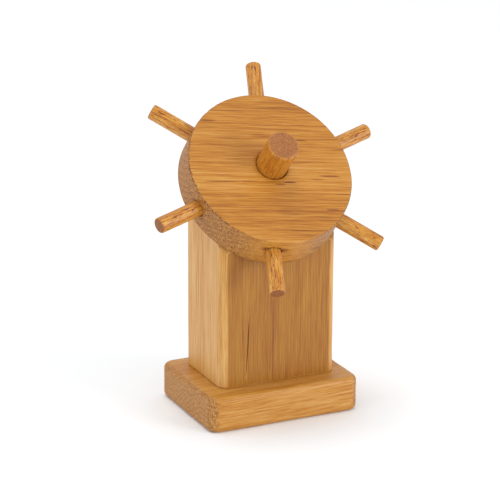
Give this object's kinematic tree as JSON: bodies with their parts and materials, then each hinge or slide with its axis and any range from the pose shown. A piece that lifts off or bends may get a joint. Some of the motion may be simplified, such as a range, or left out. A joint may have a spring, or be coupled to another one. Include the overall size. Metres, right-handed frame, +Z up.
{
  "type": "toy ship's wheel",
  "caption": "Plain oiled wood toy ship's wheel: a spoked disc turning on a peg on the sloping top of a block post on a small base board.",
  "frame": {"origin": "middle of the base board's underside, on the surface that the toy stands on", "axes": "+Z up; +X to the right of someone facing the wheel; the wheel faces -Y and up at 45 degrees"},
  "size_m": [0.1312, 0.0975, 0.171],
  "materials": {
    "board_wood": "oiled, satin, grain along X",
    "post_wood": "oiled, satin, upright grain",
    "wheel_wood": "oiled, satin, grain along X across the face",
    "peg_wood": "oiled hardwood rod, satin",
    "spoke_wood": "oiled hardwood rod, satin",
    "screw_steel": "yellow zinc-plated steel"
  },
  "bodies": {
    "root": {"base_board": "board_wood", "post": "post_wood", "axle_peg": "peg_wood", "post_screw_left": "screw_steel", "post_screw_right": "screw_steel"},
    "wheel": {"wheel_disc": "wheel_wood", "spoke_1": "spoke_wood", "spoke_2": "spoke_wood", "spoke_3": "spoke_wood", "spoke_4": "spoke_wood", "spoke_5": "spoke_wood", "spoke_6": "spoke_wood"}
  },
  "joints": [
    {"name": "wheel_spin", "type": "hinge", "parent": "root", "child": "wheel", "pos_m": [0.0022, -0.00198, 0.12282], "axis": [0, -0.7071, 0.7071], "continuous": true}
  ]
}
